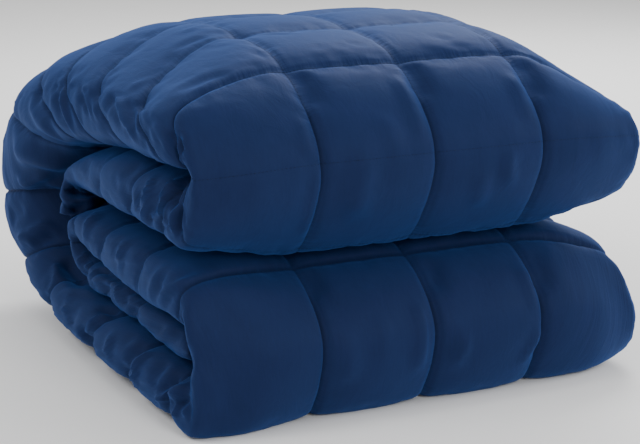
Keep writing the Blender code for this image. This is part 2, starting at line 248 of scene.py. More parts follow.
def edge_profile(middle, side, edge):
    """The strip's cross-section from a stitched column on its outer face round the folded edge.

    Returns its points (x, y, z), their arc lengths, and the arc length at which the edge's seam runs.
    """
    furthest, seam, square_outer, square_inner, reach = edge
    angle = np.linspace(0, np.pi / 2, PROFILE_SAMPLES)
    run = np.concatenate([np.sin(angle) ** (2 / square_outer),
                          np.sin(angle[-2::-1]) ** (2 / square_inner)])
    share = np.concatenate([furthest * (1 - np.cos(angle) ** (2 / square_outer)),
                            1 - (1 - furthest) * (1 - np.cos(angle[-2::-1]) ** (2 / square_inner))])
    blend = smooth(run)[:, None]
    outer = middle[0] + (side[0] - middle[0]) * blend
    inner = middle[1] + (side[1] - middle[1]) * blend
    points = np.column_stack([SQUARE + (reach - SQUARE) * run, outer + (inner - outer) * share[:, None]])
    steps = np.linalg.norm(np.diff(points, axis=0), axis=1)
    length = np.concatenate([[0], np.cumsum(steps)])
    return points, length, np.interp(seam, share, length)


def half_columns(side):
    """Column numbers of the points of half a ring, from the middle outwards, on the left or right side."""
    columns = [start + spaced(steps[side]) for _, start, *steps in COLUMN_STEPS]
    return np.concatenate(columns + [[MIDDLE_INSIDE]])


def half_ring(middle, side, edge, column):
    """The points of half a ring round the strip at these column numbers."""
    profile, length, edge_seam = edge_profile(middle, side, edge)
    at = np.interp(column, (SEAM_OUTSIDE, SEAM_ON_EDGE, SEAM_INSIDE), (0, edge_seam, length[-1]))
    ring = np.stack([np.interp(at, length, profile[:, c]) for c in range(3)], axis=1)
    outer, inner = column < SEAM_OUTSIDE, column > SEAM_INSIDE
    ring[outer, 0] = SQUARE * column[outer]
    ring[inner, 0] = SQUARE * (MIDDLE_INSIDE - column[inner])
    ring[outer, 1:] = middle[0]
    ring[inner, 1:] = middle[1]
    return ring


def column_rise(column):
    """The rise round a ring between its column seams, where the seam on the folded edge is shallow."""
    rise = bump(column - np.floor(column))
    on_edge = np.abs(np.abs(column) - SEAM_ON_EDGE) < 0.5
    return np.where(on_edge, 1 - EDGE_SEAM_DEPTH * (1 - rise), rise)


def puff_height(puff, column):
    """Full height of the puffs round a ring, from their heights on the outer, inner and edge squares."""
    outer, inner, edge = puff
    number = np.abs(column)
    past_edge = number - SEAM_ON_EDGE
    over = outer + (edge - outer) * smooth((past_edge + OVER_EDGE) / OVER_EDGE)
    full, flat = UNDER_PUFF
    under = inner + (edge - inner) * (1 - smooth((past_edge - full) / (flat - full)))
    return np.where(number < SEAM_ON_EDGE, over, np.where(number < SEAM_INSIDE, under, inner))


def places_along():
    """Place along the strip, counted in table rows, and square number with its share, for each ring."""
    places, squares = [], []
    for number, (start, end) in enumerate(zip(STITCHED[:-1], STITCHED[1:])):
        share = spaced(MIDDLE[start][STEPS])
        places.append(start + (end - start) * share)
        squares.append(number + share)
    places.append([STITCHED[-1]])
    squares.append([len(STITCHED) - 1])
    return np.concatenate(places), np.concatenate(squares)


# Gathers that the stitches raise in the cloth, as part, rows, columns, from rows, from columns, reach and
# wave. Rows and columns give the part of the strip, where a column is counted outwards from the middle, 2
# is the seam on the folded edge and the left is negative. From rows and from columns are the height of the
# waves beside those seams, reach is how far they fade out and wave is their longest length. A later part
# takes the place of an earlier one.
GATHERS = (
    ("all over", ("upper_lip", "lower_hem"), (-4, 4), 0.5, 0.5, 24, 36),
    ("left side of the top", ("upper_top", "bend_b"), (-3, -2), 0.5, 1.1, 60, 60),
    ("left side of the bend", ("bend_b", "floor_a"), (-3, -2), 0.8, 0.9, 50, 80),
    ("left side of the floor layer", ("floor_a", "lower_low"), (-3, -2), 0.8, 1.1, 40, 60),
    ("left side of the folded ends", ("upper_lip", "upper_low"), (-3, -2), 0.4, 0.5, 40, 70),
    ("left side of the lower layers", ("lower_top", "lower_hem"), (-3, -2), 0.4, 0.5, 40, 70),
    ("right side", ("upper_top", "lower_low"), (2, 3), 0.6, 1.2, 50, 60),
)
RIPPLE_SHARES = (1.0, 0.63, 0.41, 0.27)  # lengths and heights of the waves in a ripple, from the longest
RIPPLE_HEIGHT = 1.6       # what the sum of the waves is divided by
COLUMN_SEED = 100         # the waves along the rows are seeded from 0, and those along the columns from here


def row_number(name):
    """Number of stitched squares from the first hem up to a named row."""
    return STITCHED.index([row[0] for row in MIDDLE].index(name))


def ripple(phase, seed, wave):
    """Uneven waves along a seam, within about -1 and 1."""
    turns = np.random.default_rng(seed).uniform(0, 2 * np.pi, len(RIPPLE_SHARES))
    waves = sum(share * np.sin(2 * np.pi * phase / (wave * share) + turn)
                for share, turn in zip(RIPPLE_SHARES, turns))
    return waves / RIPPLE_HEIGHT


def seam_gathers(along, around, square, column):
    """Height of the gathers at each point, from the arc lengths along and around the strip."""
    rows, count = along.shape
    height = np.zeros((rows, count))
    for _, (first, last), (left, right), from_rows, from_columns, reach, wave in GATHERS:
        inside = ((square >= row_number(first)) & (square <= row_number(last)))[:, None]
        inside = inside & ((column >= left) & (column <= right))[None, :]
        waves = np.zeros((rows, count))
        for n in range(len(STITCHED) - 1):
            for seam, seed in ((n, 2 * n), (n + 1, 2 * n + 1)):
                ring = int(np.searchsorted(square, seam))
                within = slice(int(np.searchsorted(square, n)), int(np.searchsorted(square, n + 1)) + 1)
                distance = np.abs(along[within] - along[ring])
                waves[within] += from_rows * ripple(around[within], seed, wave) * np.exp(-distance / reach)
        for n in range(-MIDDLE_INSIDE, MIDDLE_INSIDE):
            for seam, seed in ((n, COLUMN_SEED + 2 * n), (n + 1, COLUMN_SEED + 2 * n + 1)):
                j = int(np.argmin(np.abs(column - seam)))
                chosen = np.flatnonzero((column >= n) & (column <= n + 1))
                distance = np.abs(around[:, chosen] - around[:, j:j + 1])
                gathers = from_columns * ripple(along[:, chosen], seed, wave)
                waves[:, chosen] += gathers * np.exp(-distance / reach)
        height = np.where(inside, waves, height)
    return height


# Folds that are pressed or drawn into the cloth, as after row, line, height and width. A line is a few
# places on the strip, as (squares past that stitched row, column). height is how far it stands out, or how
# far it sinks in where it is negative, and width is how far from its line it fades out. Most lines were
# picked in the photo and cast through its camera onto the strip.
FOLDS = (
    # fronts
    ("upper_low", ((1.12, -0.62), (0.85, -0.68), (0.67, -0.69), (0.4, -0.64)), 4.1, 12.1),
    ("upper_low", ((0.99, 0.63), (0.82, 0.63), (0.6, 0.69)), 3.8, 7),
    ("upper_low", ((0.82, 0.39), (0.61, 0.43), (0.42, 0.44)), 3.1, 7.6),
    ("upper_low", ((1.0, -1.04), (0.74, -1.05), (0.48, -1.05), (0.24, -1.06)), 3.1, 7),
    ("upper_front", ((0.37, -0.45), (0.23, -0.41), (0.02, -0.41)), 2.5, 9.1),
    ("upper_front", ((0.8, -0.14), (0.57, -0.15), (0.4, -0.13), (0.08, -0.15)), 4.7, 7),
    ("upper_front", ((0.95, -0.91), (0.74, -0.92), (0.5, -0.94)), -6.2, 12.1),
    ("upper_front", ((0.46, -1.09), (0.26, -1.12), (0.05, -1.13)), 3.1, 7),
    ("upper_front", ((0.95, 0.07), (0.73, 0.06), (0.48, 0.05)), -6.2, 10.7),
    ("upper_front", ((0.7, 0.88), (0.43, 0.86), (0.18, 0.87)), 4.7, 7.6),
    ("upper_front", ((0.9, 1.07), (0.67, 1.07), (0.38, 1.05)), -6.2, 12.1),
    ("lower_low", ((0.62, -1.97), (0.55, -1.92), (0.47, -1.86)), 5.2, 13.7),
    ("lower_low", ((0.73, -0.5), (0.65, -0.52), (0.58, -0.51)), 3.1, 7),
    ("lower_low", ((0.68, -0.82), (0.58, -0.83), (0.48, -0.79)), 4.1, 12.1),
    ("lower_low", ((0.78, -0.14), (0.67, -0.17), (0.58, -0.17), (0.48, -0.17)), 4.8, 7),
    ("lower_low", ((0.97, -0.96), (0.9, -0.95), (0.82, -0.95)), -5.2, 10.7),
    ("lower_low", ((0.62, 0.24), (0.56, 0.21), (0.48, 0.15)), 4.7, 7),
    ("lower_low", ((0.86, 0.92), (0.77, 0.91), (0.66, 0.89)), 4.4, 7),
    ("lower_low", ((0.6, 0.97), (0.51, 0.91), (0.45, 0.8)), 3.8, 7),
    ("lower_low", ((0.94, 0.1), (0.87, 0.11), (0.79, 0.08)), -5.2, 12.1),
    ("lower_low", ((0.92, 1.07), (0.82, 1.07), (0.73, 1.05)), -5.2, 10.7),
    # top
    ("top_a", ((0.14, -1.14), (0.18, -1.29), (0.2, -1.45)), -2.3, 7),
    ("top_a", ((0.56, -1.0), (0.52, -1.14), (0.5, -1.25)), 1.6, 6),
    ("top_a", ((0.92, -1.84), (0.75, -1.74)), -1.6, 7),
    ("top_a", ((0.35, -1.9), (0.15, -1.78)), 1.6, 6),
    ("top_b", ((0.06, -1.2), (0.04, -1.36)), -2.1, 6),
    ("upper_top", ((0.22, -1.7), (0.21, -1.55), (0.15, -1.36)), -1.8, 8),
    ("upper_top", ((0.4, -1.11), (0.18, -1.05)), -1.8, 6),
    ("upper_top", ((0.88, -0.84), (0.7, -0.62)), -1.6, 6),
    ("upper_top", ((0.36, -0.36), (0.27, -0.14), (0.25, 0.1)), -1.6, 6),
    ("upper_top", ((0.14, 0.34), (0.09, 0.6)), 1.6, 6),
    ("upper_top", ((0.4, 0.45), (0.2, 0.62)), -1.6, 5),
    # left edge of the top
    ("top_c", ((-0.06, -1.9), (0.14, -2.08), (0.29, -2.18), (0.42, -2.32)), 4.6, 4.5),
    ("top_c", ((0.3, -1.96), (0.36, -2.08), (0.46, -2.2)), -3.8, 6.7),
    ("top_b", ((0.5, -1.97), (0.38, -2.06), (0.38, -2.18)), -3.5, 4.5),
    ("top_b", ((0.34, -1.96), (0.3, -2.08), (0.33, -2.2)), 2.6, 3.6),
    ("top_b", ((0.2, -1.94), (0.14, -2.06), (0.16, -2.2)), 2.3, 3.6),
    ("top_a", ((0.7, -1.98), (0.52, -2.07), (0.45, -2.16)), -3.8, 5),
    ("top_a", ((0.58, -1.95), (0.4, -2.07), (0.31, -2.16), (0.31, -2.27)), 4.1, 4),
    ("top_a", ((0.3, -1.98), (0.15, -2.08), (0.13, -2.18)), -2.9, 4),
    ("upper_top", ((0.84, -2.0), (0.7, -2.08), (0.7, -2.2)), 2.2, 3.6),
    ("upper_top", ((0.64, -1.9), (0.46, -2.04), (0.36, -2.2)), 2.8, 6.7),
    ("upper_top", ((0.2, -2.0), (0.12, -2.1), (0.05, -2.22)), -4.3, 4.5),
    ("upper_front", ((0.66, -1.96), (0.6, -2.02), (0.48, -2.03)), -4.3, 3.8),
    ("upper_front", ((0.62, -1.91), (0.44, -1.97), (0.3, -2.0)), 2.6, 3.4),
    ("upper_front", ((0.85, -2.02), (0.72, -2.08), (0.6, -2.12)), 2.6, 3.4),
    # left edge of the bend
    ("bend_a", ((0.3, -2.05), (0.4, -2.2), (0.42, -2.36)), 4.9, 10.1),
    ("bend_b", ((0.36, -2.2), (0.36, -2.4), (0.46, -2.58)), 9.3, 16.8),
    ("bend_b", ((0.88, -2.28), (0.76, -2.38), (0.58, -2.48)), 8.2, 8.4),
    ("bend_b", ((0.82, -2.44), (0.86, -2.58)), 4.4, 8.4),
    ("bend_c", ((0.76, -2.12), (0.7, -2.3), (0.56, -2.44)), 8.2, 8.4),
    ("bend_c", ((0.88, -2.2), (0.78, -2.34), (0.7, -2.45)), 5.3, 5.8),
    ("bend_c", ((0.4, -2.1), (0.3, -2.3)), -4.9, 13.5),
    ("bend_c", ((0.85, -2.25), (0.81, -2.35), (0.75, -2.41)), -7.6, 7.5),
    ("bend_d", ((0.96, -2.19), (0.76, -2.24), (0.49, -2.29)), 5.7, 5.1),
    # left edge of the upper folded end
    ("lower_b", ((0.26, -2.14), (0.31, -2.04), (0.38, -1.94)), -4.8, 4.4),
    ("lower_b", ((0.26, -2.22), (0.5, -2.12), (0.55, -2.02), (0.55, -1.86)), 6.9, 3.9),
    ("lower_b", ((0.64, -1.98), (0.78, -1.92)), -6.1, 4.4),
    ("lower_b", ((0.58, -2.2), (0.74, -2.09), (0.7, -1.98)), -4.0, 5.4),
    ("lower_b", ((0.76, -2.3), (0.92, -2.16), (0.98, -2.08), (0.95, -2.0)), 8.4, 4.1),
    ("lower_c", ((-0.1, -1.92), (0.1, -1.92), (0.32, -1.94)), -6.1, 4.4),
    ("lower_c", ((-0.1, -2.3), (0.12, -2.22), (0.24, -2.17), (0.16, -2.1)), -11, 8.4),
    ("lower_c", ((0.55, -2.15), (0.53, -2.05), (0.7, -1.96)), 4.8, 4.1),
    ("lower_c", ((0.92, -2.16), (0.8, -2.07), (0.78, -1.97)), -6.5, 5.4),
    # left edge of the lower bundle
    ("middle_b", ((0.62, -1.8), (0.44, -1.95), (0.34, -2.08)), 2.8, 8),
    ("middle_a", ((0.62, -1.93), (0.5, -2.04)), -2.2, 6),
    ("middle_a", ((0.54, -1.92), (0.4, -2.04), (0.38, -2.14)), 2.4, 6),
    ("lower_top", ((0.52, -1.94), (0.62, -2.05), (0.66, -2.16)), 2.8, 5.4),
    ("lower_top", ((0.42, -1.92), (0.46, -2.02), (0.47, -2.1)), -2.2, 5.4),
    ("lower_top", ((0.5, -2.14), (0.3, -2.03), (0.11, -1.94), (0.02, -1.76)), 3.4, 4.6),
    ("lower_top", ((0.12, -1.95), (0.21, -2.05), (0.34, -2.14)), -2.0, 6),
    ("lower_low", ((0.93, -2.06), (0.9, -2.12), (0.86, -2.2)), -5.7, 5.9),
    ("lower_low", ((0.92, -1.98), (0.82, -2.0), (0.7, -2.0)), 4.2, 4.9),
    ("turn", ((0.98, -2.12), (0.92, -2.02)), 3.5, 3.4),
    ("inside_a", ((0.3, -2.12), (0.36, -2.04), (0.48, -1.94)), 3.5, 3.4),
    ("inside_b", ((0.2, -2.14), (0.4, -2.04), (0.66, -1.96)), 3.5, 5),
    ("inside_b", ((0.7, -2.1), (0.74, -2.0)), -3.8, 5.6),
    ("floor_a", ((0.36, -2.22), (0.48, -2.08)), 4.8, 4.4),
    ("floor_a", ((0.62, -2.2), (0.58, -2.06)), -3.9, 8.7),
    ("floor_a", ((0.92, -2.22), (0.96, -2.04)), 4.8, 4.4),
    ("floor_b", ((0.4, -2.22), (0.52, -2.06)), 3.9, 8.7),
    ("floor_c", ((0.2, -2.14), (0.25, -1.96)), 4.3, 4.4),
    ("floor_c", ((0.55, -2.24), (0.62, -2.08)), -3.9, 8.7),
    ("floor_c", ((0.76, -1.98), (0.98, -2.1), (1.2, -2.2)), 7.8, 5.9),
    ("lower_low", ((0.1, -2.12), (0.11, -1.98)), 5.2, 4.4),
    ("lower_low", ((0.24, -2.06), (0.34, -2.14)), 4.8, 3.8),
    ("bend_d", ((0.39, -2.34), (0.89, -2.31), (1.34, -2.31)), -10.5, 10.4),
    ("floor_a", ((0.22, -2.16), (0.34, -2.23), (0.45, -2.28), (0.59, -2.32)), 5.2, 4.4),
    ("floor_a", ((0.78, -2.26), (0.84, -2.3), (0.93, -2.35)), -6.0, 6.5),
    ("floor_a", ((0.96, -2.16), (0.92, -2.24), (0.96, -2.29)), 4.5, 4.4),
    ("floor_a", ((0.82, -2.14), (0.93, -2.03), (1.21, -2.05)), -6.0, 7.8),
    ("floor_b", ((0.92, -2.1), (0.97, -2.2), (0.96, -2.25)), -6.0, 6.5),
    ("floor_c", ((0.12, -2.09), (0.16, -2.19), (0.14, -2.25)), 4.5, 4.4),
    ("floor_c", ((0.76, -2.07), (0.92, -2.14), (0.96, -2.2)), -9.0, 7.8),
    ("lower_low", ((0.04, -2.03), (0.21, -2.14), (0.34, -2.16)), -6.0, 5.2),
    ("inside_a", ((0.4, -2.01), (0.79, -2.08), (1.25, -2.12)), 4.5, 3.4),
    ("inside_a", ((0.38, -2.09), (0.53, -2.14), (0.68, -2.16)), -5.0, 4.5),
    ("turn", ((0.71, -1.99), (0.66, -2.06), (0.5, -2.12)), 3.2, 3.2),
    ("inside_b", ((0.56, -2.06), (0.61, -2.13), (0.68, -2.16)), -4.0, 4.5),
    ("inside_b", ((0.81, -1.95), (0.91, -2.04), (0.97, -2.12)), 3.2, 3.4),
    ("inside_c", ((0.33, -1.97), (0.44, -2.04), (0.52, -2.07)), -5.0, 5.5),
    ("inside_c", ((0.4, -1.95), (0.58, -2.01), (0.6, -2.09)), 4.0, 3.4),
    ("inside_c", ((0.8, -1.98), (0.76, -2.04), (0.72, -2.09)), -3.0, 4),
    ("middle_a", ((0.51, -2.07), (0.44, -1.99), (0.5, -1.91)), 2.0, 6),
    ("middle_b", ((0.4, -1.98), (0.46, -1.92), (0.56, -1.82)), 2.2, 7.2),
    # hem inside the bend
    ("upper_lip", ((0.06, -1.8), (0.22, -1.84), (0.4, -1.86)), 8.0, 16),
    ("upper_lip", ((0.04, -1.72), (0.14, -1.84), (0.26, -1.9)), 6.6, 4.6),
    ("upper_lip", ((0.03, -1.9), (0.12, -1.96), (0.26, -2.02)), -7.1, 4.6),
    ("upper_lip", ((0.05, -2.06), (0.16, -2.0), (0.3, -1.96)), 6.3, 4.1),
    ("upper_lip", ((0.1, -2.24), (0.2, -2.12), (0.34, -2.1)), -5.8, 4.6),
    ("upper_lip", ((0.16, -1.6), (0.22, -1.76), (0.2, -1.92)), 5.1, 4.6),
    ("upper_lip", ((0.3, -1.74), (0.34, -1.88), (0.4, -1.94)), -5.8, 5.2),
    ("upper_lip", ((0.45, -1.97), (0.32, -1.98), (0.18, -2.0)), 6.8, 4.6),
    ("upper_lip", ((0.39, -1.95), (0.33, -1.92), (0.28, -1.9)), -6.8, 3.7),
    ("upper_lip", ((0.15, -1.98), (0.21, -1.94), (0.25, -1.89)), 6.8, 3.7),
    ("upper_lip", ((0.11, -1.99), (0.16, -1.91), (0.18, -1.87)), -6.8, 3.7),
    ("upper_lip", ((0.22, -2.02), (0.12, -2.04), (0.05, -2.0)), 11, 5.8),
    ("upper_lip", ((0.54, -1.94), (0.46, -1.87), (0.36, -1.82)), 5.2, 3.7),
)
FLANK = (0.28, 2.4)       # depth and width of the hollows beside a fold, as shares of its own
LINE_POINTS = 28          # how many points a line is followed by
FOLD_MARGIN = 0.35        # how far around its line a fold is worked out, in squares
FOLD_ENDS = (0.1, 3.5)    # start and slope of the fade in from the ends of a fold
CROSSING_DIP = (1.2, 12)  # how deep and how far around the crossings of the seams are drawn in
CROSSING_MARGIN = 0.45    # how far around a crossing its dip is worked out, in squares
DEEP_DIPS = (             # crossings that sink further: (row, column, depth, reach)
    ("top_a", -1, 4.0, 16), ("top_a", 0, 1.5, 14), ("upper_top", -1, 1.2, 14), ("upper_top", 0, 1.2, 14),
    ("upper_top", 1, 1.6, 16), ("top_a", -2, 2.4, 12), ("top_b", -2, 2.4, 12), ("top_c", -2, 2.4, 12),
    ("bend_a", -2, 2.0, 14), ("lower_a", -2, 2.4, 12), ("lower_b", -2, 2.4, 12), ("middle_a", -2, 2.4, 12),
    ("middle_b", -2, 2.4, 12), ("floor_a", -2, 3.0, 16), ("floor_b", -2, 3.0, 16), ("floor_c", -2, 3.0, 16),
    ("inside_a", -2, 3.0, 14), ("inside_b", -2, 3.0, 14), ("inside_c", -2, 3.0, 14),
)


def post_number(column, count):
    """Position in a ring, as a fraction, of a column number."""
    half = half_columns(LEFT_SIDE if column <= 0 else RIGHT_SIDE)
    position = np.interp(abs(column), half, np.arange(len(half)))
    return position if column <= 0 else count - position


def line_on_strip(points, square, line):
    """Closely spaced points of a line on the strip, from its few places as (square, column)."""
    rings, count = points.shape[:2]
    ahead = np.interp([place[0] for place in line], square, np.arange(rings))
    across = [post_number(place[1], count) for place in line]
    share = np.linspace(0, len(line) - 1, LINE_POINTS)
    ring = np.interp(share, range(len(line)), ahead)
    post = np.interp(share, range(len(line)), across)
    for _ in range(LINE_POINTS // 3):
        ring[1:-1] = (ring[:-2] + 2 * ring[1:-1] + ring[2:]) / 4
        post[1:-1] = (post[:-2] + 2 * post[1:-1] + post[2:]) / 4
    first, left = np.minimum(ring.astype(int), rings - 2), post.astype(int)
    f, g = (ring - first)[:, None], (post - left)[:, None]
    left, right = left % count, (left + 1) % count
    return ((points[first, left] * (1 - g) + points[first, right] * g) * (1 - f)
            + (points[first + 1, left] * (1 - g) + points[first + 1, right] * g) * f)


def near_places(square, column, line, margin):
    """Indices of the rings and of the posts within a margin, in squares, of a line's places."""
    ahead, across = zip(*line)
    rings = np.flatnonzero((square > min(ahead) - margin) & (square < max(ahead) + margin))
    posts = np.flatnonzero((column > min(across) - margin) & (column < max(across) + margin))
    return rings, posts


def fold_heights(points, square, column):
    """Height of the folds at each point of the strip."""
    height = np.zeros(points.shape[:2])
    for after_row, line, rise, width in FOLDS:
        places = [(row_number(after_row) + ahead, across) for ahead, across in line]
        rings, posts = near_places(square, column, places, FOLD_MARGIN)
        track = line_on_strip(points, square, places)
        part = points[np.ix_(rings, posts)]
        distance = np.linalg.norm(part[:, :, None] - track, axis=3)
        closest = distance.argmin(axis=2) / (LINE_POINTS - 1)
        q = distance.min(axis=2) / width
        shape = np.exp(-q**2) - FLANK[0] * np.exp(-(q / FLANK[1])**2)
        fade = smooth(FOLD_ENDS[0] + FOLD_ENDS[1] * np.minimum(closest, 1 - closest))
        height[np.ix_(rings, posts)] += rise * (1 + FLANK[0]) * shape * fade
    return height


def crossing_dips(points, square, column):
    """How far the cloth is drawn in around the crossings of the seams."""
    depth = np.zeros(points.shape[:2])
    dips = [(number, across, *CROSSING_DIP) for number in range(len(STITCHED))
            for across in range(-SEAM_INSIDE, SEAM_INSIDE + 1)]
    dips += [(row_number(row), across, deep, reach) for row, across, deep, reach in DEEP_DIPS]
    for number, across, deep, reach in dips:
        rings, posts = near_places(square, column, [(number, across)], CROSSING_MARGIN)
        centre = line_on_strip(points, square, [(number, across)] * 2)[0]
        distance = np.linalg.norm(points[np.ix_(rings, posts)] - centre, axis=2)
        depth[np.ix_(rings, posts)] += deep * np.exp(-(distance / reach)**2)
    return depth


FREE_OF_SEAMS = 1.6       # how soon gathers and folds reach their full height away from the seams
FOLD_AT_SEAMS = 0.2       # share of a fold's height that is left on a seam
SHADED_FROM = 0.2         # a row whose stitches draw the cloth in less than this gets no painted seam shade
SHADED_COLUMNS = (-3, -1, 0, 1, 3, 4)


def strip_surface():
    """The filled strip as a grid of rings: points in millimetres and what the finish needs at each."""
    left_columns, right_columns = half_columns(LEFT_SIDE), half_columns(RIGHT_SIDE)
    places, square = places_along()
    rings = []
    for place in places:
        middle, left, right = faces_at(place)
        left_edge, right_edge = between_rows(EDGES, place)
        left_half = half_ring(middle, left, left_edge, left_columns)
        left_half[:, 0] *= -1
        right_half = half_ring(middle, right, right_edge, right_columns)
        rings.append(np.vstack([left_half, right_half[-2:0:-1]]))
    points = np.array(rings)
    column = np.concatenate([-left_columns, right_columns[-2:0:-1]])
    risen = []
    for number in square:
        part = number - np.floor(number)
        depth = MIDDLE[STITCHED[min(int(number) + (part >= 0.5), len(STITCHED) - 1)]][STITCH]
        risen.append(1 - depth * (1 - bump(part)))
    risen = np.array(risen)[:, None]
    along = np.concatenate([np.zeros((1, len(column))),
                            np.cumsum(np.linalg.norm(np.diff(points, axis=0), axis=2), axis=0)])
    steps = np.linalg.norm(points - np.roll(points, 1, axis=1), axis=2)
    steps[:, 0] = 0
    around = np.cumsum(steps, axis=1)
    rise = column_rise(column)[None, :] * risen
    height = np.array([puff_height(between_rows(PUFFS, place), column) for place in places]) * rise
    held = np.minimum(rise * FREE_OF_SEAMS, 1)
    height += seam_gathers(along, around, square, column) * held
    height += fold_heights(points, square, column) * (FOLD_AT_SEAMS + (1 - FOLD_AT_SEAMS) * held)
    height -= crossing_dips(points, square, column)
    normal = np.cross(np.gradient(points, axis=0), np.roll(points, -1, axis=1) - np.roll(points, 1, axis=1))
    normal /= np.linalg.norm(normal, axis=2, keepdims=True)
    points = points + normal * height[:, :, None]
    points[:, :, 2] = np.maximum(points[:, :, 2], 0)
    return {"points": points, "column": column, "square": square, "along": along, "around": around,
            "rise": rise}


def girths(around):
    """Length once round each ring."""
    return around[:, -1:] + np.abs(around[:, -1:] - around[:, -2:-1])


def seam_distances(surface):
    """Distance of each point from the nearest stitched row and from the nearest stitched column."""
    along, around, square, column = (surface[key] for key in ("along", "around", "square", "column"))
    drawn_in = [number for number, row in enumerate(STITCHED) if MIDDLE[row][STITCH] > SHADED_FROM]
    seam_rings = np.searchsorted(square, np.array(drawn_in) - ROUNDING)
    seam_posts = [int(np.argmin(np.abs(column - seam))) for seam in SHADED_COLUMNS]
    to_row = np.min([np.abs(along - along[ring]) for ring in seam_rings], axis=0)
    girth = girths(around)
    gaps = [np.abs(around - around[:, post:post + 1]) for post in seam_posts]
    to_column = np.min([np.minimum(gap, girth - gap) for gap in gaps], axis=0)
    return to_row, to_column


def name_places(blanket, surface):
    """Keep each point's place on the strip and its distance from the stitches for the finish, in metres."""
    around = surface["around"]
    left_of_middle = surface["column"] <= 0
    around = np.where(left_of_middle[None, :], -around, girths(around) - around)
    to_row, to_column = seam_distances(surface)
    for name, pair in (("strip", (surface["along"], around)), ("seams", (to_row, to_column))):
        values = np.stack([*pair, np.zeros_like(around)], axis=2) * MM
        attribute = blanket.data.attributes.new(name, "FLOAT_VECTOR", "POINT")
        attribute.data.foreach_set("vector", values.reshape(-1))


def grid_mesh(name, surface):
    """The strip as one closed mesh, with its hems closed by bands of triangles."""
    points = surface["points"]
    rings, count = points.shape[:2]
    shifted = (points + np.array([*TO_MIDDLE, 0])) * MM
    index = np.arange(rings * count).reshape(rings, count)
    after = np.roll(index, -1, axis=1)
    faces = np.stack([index[:-1], index[1:], after[1:], after[:-1]], axis=2).reshape(-1, 4).tolist()
    for ring, flip in ((0, False), (rings - 1, True)):
        faces += hem_faces(points[ring, :, 0], index[ring], flip)
    mesh = bpy.data.meshes.new(name)
    mesh.from_pydata(shifted.reshape(-1, 3).tolist(), [], faces)
    mesh.shade_smooth()
    mesh.update()
    blanket = bpy.data.objects.new(name, mesh)
    bpy.context.scene.collection.objects.link(blanket)
    return blanket


def hem_faces(across, index, flip):
    """A band of triangles between the outer and the inner half of a hem's ring."""
    left, right = int(np.argmin(across)), int(np.argmax(across))
    count = len(index)
    outer = [j % count for j in range(left, right - count - 1, -1)]
    inner = list(range(left, right + 1))
    faces, a, b = [], 0, 0
    while a < len(outer) - 1 or b < len(inner) - 1:
        step_outer = b == len(inner) - 1 or (a < len(outer) - 1
                                             and across[outer[a + 1]] <= across[inner[b + 1]])
        corner = outer[a + 1] if step_outer else inner[b + 1]
        triangle = (outer[a], inner[b], corner)
        if len(set(triangle)) == 3:
            faces.append([int(index[j]) for j in (triangle[::-1] if flip else triangle)])
        a, b = (a + 1, b) if step_outer else (a, b + 1)
    return faces


RAY_START = 0.0008        # how far above the cloth the look for the next layer starts, in metres
ROOM_SHARE = 0.45         # share of the way to the next layer that the cloth may move
LAYER_GAP = 0.0003        # and what it leaves of that, in metres
FARTHEST_MOVE = 0.012
HELD_RISE = 1e-6          # cloth is held where it rises no more than this, on the stitches
HELD_ROOM = 0.0006        # and where it has less room than this
HELD_ON_FLOOR = 0.0005    # and where it lies lower than this
SWELL_FRAMES = 20
CLOTH = {                 # the cloth grows by shrink_max, turned round, on the left side under its edge
    "quality": 5, "mass": 0.25, "tension_stiffness": 20, "compression_stiffness": 20,
    "shear_stiffness": 8, "bending_stiffness": 0.6, "tension_damping": 10, "compression_damping": 10,
    "air_damping": 2, "use_pressure": True, "uniform_pressure_force": 3.0,
    "shrink_min": -0.004, "shrink_max": -0.03,
}


def room_to_swell(blanket):
    """How far each point may move outwards before it would meet another layer, in metres."""
    mesh = blanket.data
    tree = BVHTree.FromPolygons([v.co for v in mesh.vertices], [p.vertices for p in mesh.polygons])
    room = np.full(len(mesh.vertices), FARTHEST_MOVE)
    for vertex in mesh.vertices:
        hit = tree.ray_cast(vertex.co + vertex.normal * RAY_START, vertex.normal, FARTHEST_MOVE)
        if hit[0] is not None:
            room[vertex.index] = max(0.0, hit[3] * ROOM_SHARE - LAYER_GAP)
    return room


def pressed_out(blanket, held, slack):
    """Where a cloth simulation moves the points of the blanket to, with some held and some slack."""
    groups = {}
    for name, chosen in (("stitched", held), ("slack", slack)):
        groups[name] = blanket.vertex_groups.new(name=name)
        groups[name].add(np.flatnonzero(chosen).tolist(), 1.0, "REPLACE")
    cloth = blanket.modifiers.new("filling", "CLOTH")
    for name, value in CLOTH.items():
        setattr(cloth.settings, name, value)
    cloth.settings.vertex_group_shrink = groups["slack"].name
    cloth.settings.vertex_group_mass = groups["stitched"].name
    cloth.settings.effector_weights.gravity = 0
    cloth.collision_settings.use_collision = False
    cloth.point_cache.frame_start = 1
    cloth.point_cache.frame_end = SWELL_FRAMES
    scene = bpy.context.scene
    for frame_number in range(1, SWELL_FRAMES + 1):
        scene.frame_set(frame_number)
    evaluated = blanket.evaluated_get(bpy.context.evaluated_depsgraph_get())
    mesh = evaluated.to_mesh()
    moved = np.empty(len(mesh.vertices) * 3)
    mesh.vertices.foreach_get("co", moved)
    evaluated.to_mesh_clear()
    scene.frame_set(1)
    blanket.modifiers.remove(cloth)
    blanket.vertex_groups.clear()
    return moved.reshape(-1, 3)


